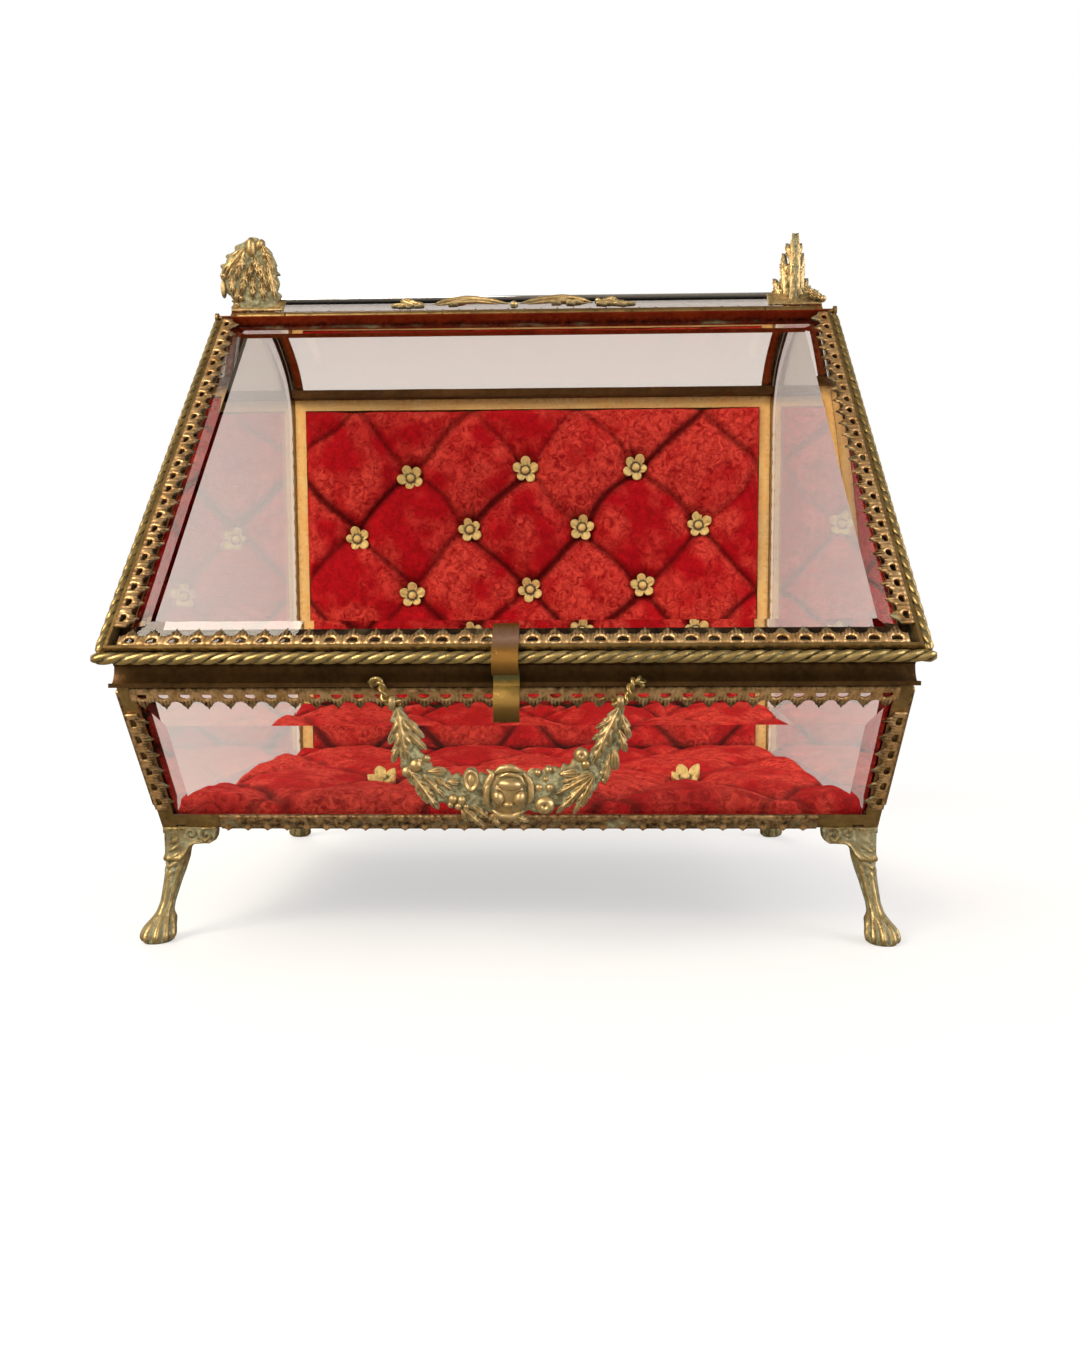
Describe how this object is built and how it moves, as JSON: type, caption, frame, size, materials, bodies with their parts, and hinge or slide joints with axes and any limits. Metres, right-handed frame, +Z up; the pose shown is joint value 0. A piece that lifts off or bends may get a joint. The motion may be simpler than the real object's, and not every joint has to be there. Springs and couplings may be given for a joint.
{
  "type": "casket box",
  "caption": "Glazed brass table casket with a sloping hinged lid, bent top glass, buttoned red velvet lining, garland drop handle and cabriole feet.",
  "frame": {"origin": "on the table at the middle of the footprint of the whole casket", "axes": "+X to the viewer's right from the front, +Y to the back, +Z up"},
  "size_m": [0.2104, 0.1954, 0.2203],
  "materials": {
    "aged_brass": "worn sheet brass with dark brown patina in the hollows",
    "stamped_brass": "stamped pierced strip, bright on the ridges and dark in the recesses",
    "cast_brass": "cast brass with pale green-grey deposits in the recesses",
    "gilt_brass": "bright gilt, protected behind glass",
    "clear_glass": "clear polished glass with ground bevels",
    "red_velvet": "crushed cotton velvet pile",
    "lining_card": "plain stiff card under the velvet"
  },
  "bodies": {
    "casket": {"arch_rail_left": "aged_brass", "arch_rail_right": "aged_brass", "back_board": "lining_card", "back_border": "gilt_brass", "back_cushion": "red_velvet", "back_panel": "aged_brass", "back_studs": "gilt_brass", "back_top_rail": "aged_brass", "base_plate": "aged_brass", "base_rail_back": "aged_brass", "base_rail_front": "aged_brass", "base_rail_left": "aged_brass", "base_rail_right": "aged_brass", "finial_left": "cast_brass", "finial_right": "cast_brass", "floor_board": "lining_card", "floor_cushion": "red_velvet", "floor_studs": "gilt_brass", "foot_front_left": "cast_brass", "foot_front_right": "cast_brass", "foot_rear_left": "cast_brass", "foot_rear_right": "cast_brass", "front_glass": "clear_glass", "front_post_left": "aged_brass", "front_post_right": "aged_brass", "gallery_back": "stamped_brass", "gallery_base": "stamped_brass", "gallery_post_left": "stamped_brass", "gallery_post_right": "stamped_brass", "gallery_ridge": "stamped_brass", "gallery_rim": "stamped_brass", "gallery_side_left": "stamped_brass", "gallery_side_right": "stamped_brass", "hinge_knuckles_body": "aged_brass", "hinge_pin": "aged_brass", "latch_catch": "aged_brass", "lid_seat_left": "aged_brass", "lid_seat_right": "aged_brass", "rear_post_left": "aged_brass", "rear_post_right": "aged_brass", "ridge_bar": "aged_brass", "rim_moulding": "aged_brass", "side_glass_left": "clear_glass", "side_glass_right": "clear_glass", "top_crest": "cast_brass", "top_glass": "clear_glass", "wire_loop_left": "cast_brass", "wire_loop_right": "cast_brass"},
    "lid": {"gallery_lid": "stamped_brass", "hinge_knuckles_lid": "aged_brass", "latch_strap": "aged_brass", "lid_glass": "clear_glass", "lid_rail_bottom": "aged_brass", "lid_rail_left": "aged_brass", "lid_rail_right": "aged_brass", "lid_rail_top": "aged_brass", "rope_bottom": "aged_brass", "rope_side_left": "aged_brass", "rope_side_right": "aged_brass"},
    "handle": {"garland_handle": "cast_brass"}
  },
  "joints": [
    {"name": "lid_hinge", "type": "hinge", "parent": "casket", "child": "lid", "pos_m": [0, 0.00871, 0.19111], "axis": [-1, 0, 0], "range_deg": [0, 138]},
    {"name": "handle_hinge", "type": "hinge", "parent": "casket", "child": "handle", "pos_m": [-0.001, -0.09223, 0.0684], "axis": [-1, 0, 0], "range_deg": [-40, 100]}
  ]
}
